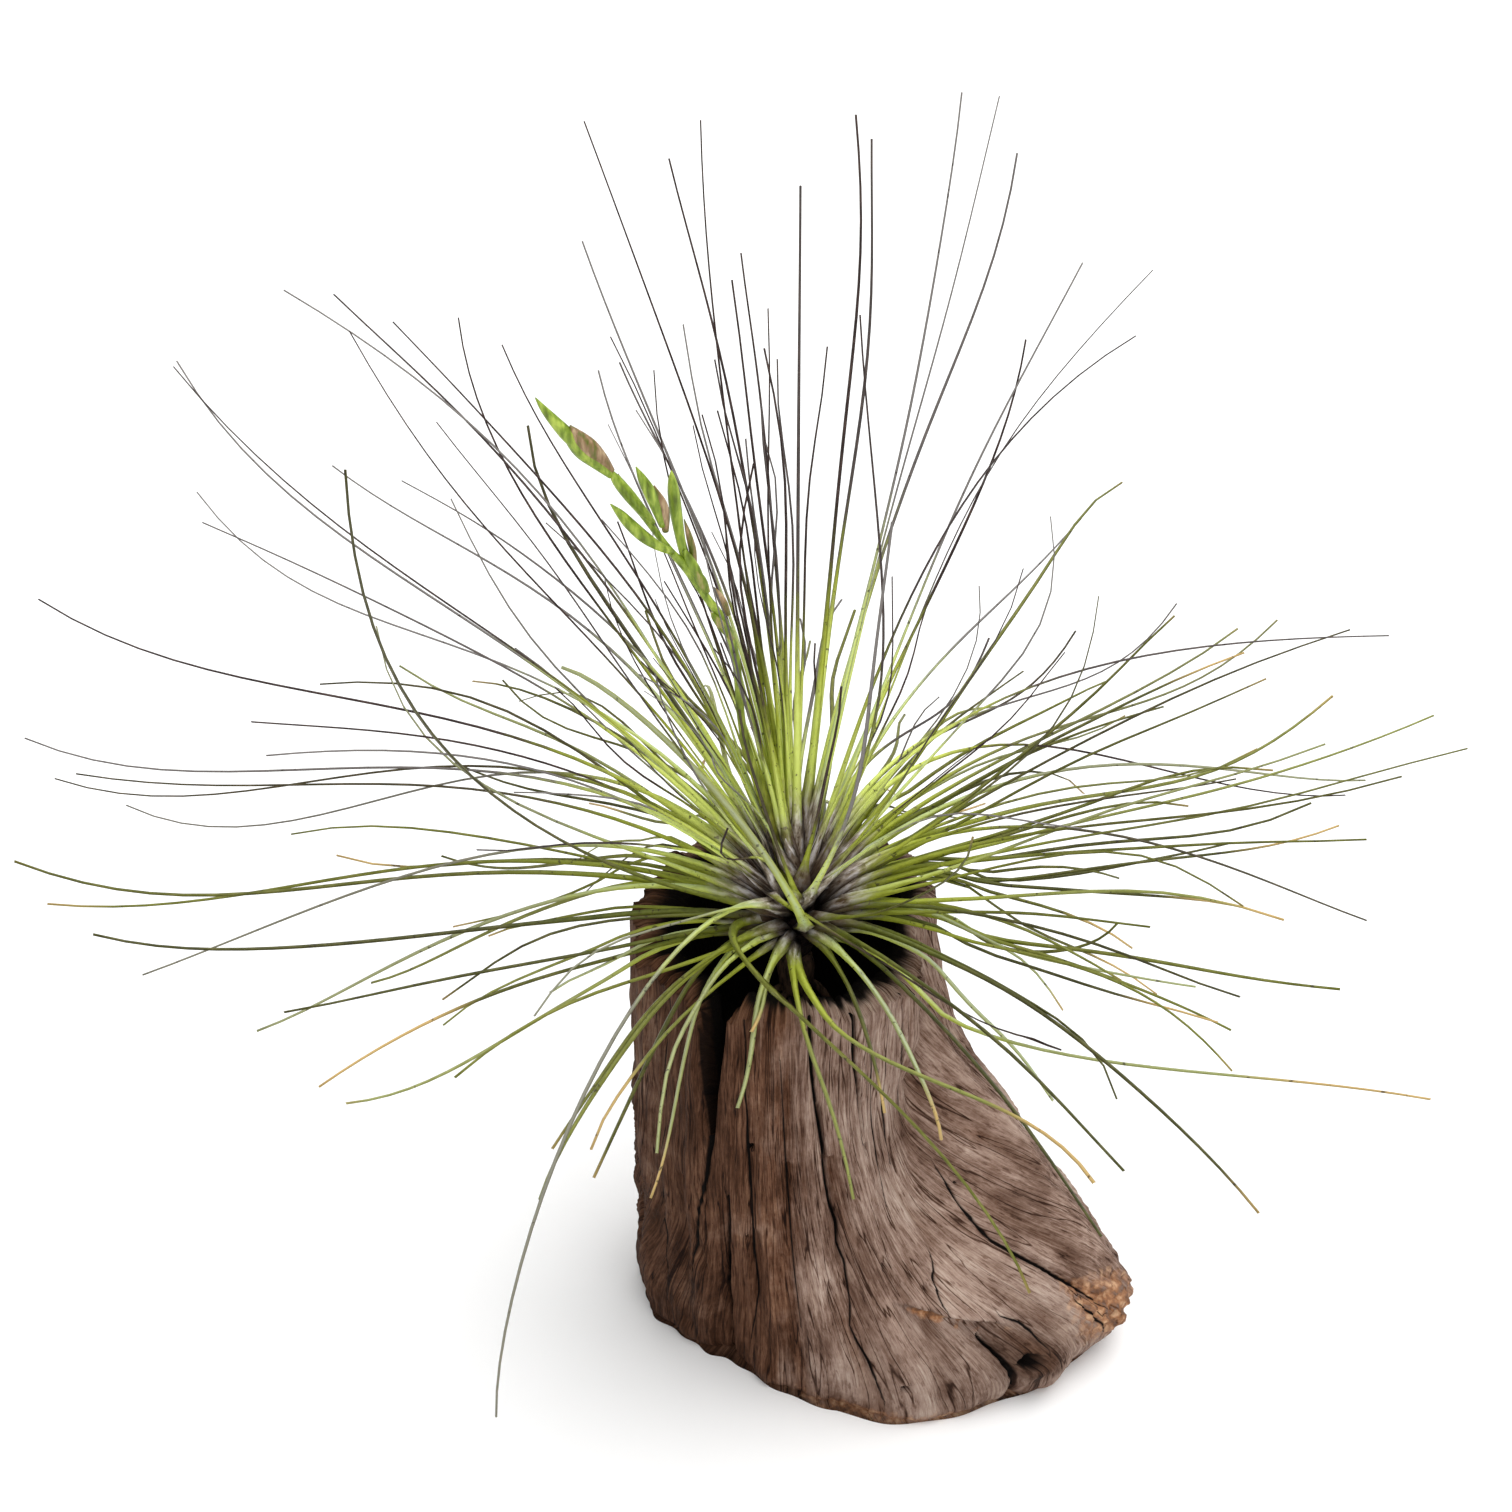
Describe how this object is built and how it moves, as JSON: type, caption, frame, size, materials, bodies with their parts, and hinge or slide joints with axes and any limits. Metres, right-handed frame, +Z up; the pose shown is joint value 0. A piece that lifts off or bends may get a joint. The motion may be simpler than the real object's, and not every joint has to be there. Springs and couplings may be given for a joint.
{
  "type": "air plant on driftwood",
  "caption": "Spray of thread-thin arching green leaves with a budding flower spike, rooted in the hollow top of a weathered driftwood stump with a root flare.",
  "frame": {"origin": "middle of the trunk on the stump's flat underside", "axes": "+Z up out of the stump, front of the stump towards -Y, root foot running out to +X"},
  "size_m": [0.2383, 0.1836, 0.2191],
  "materials": {
    "driftwood": "weathered, bare and matte",
    "woody_roots": "matte",
    "leaves": "satin, with fine silvery scales",
    "spike": "smooth and slightly waxy"
  },
  "bodies": {
    "root": {"driftwood_stump": "driftwood", "stem_foot_with_roots": "woody_roots", "leaf_rosette": "leaves", "flower_spike": "spike"}
  },
  "joints": []
}
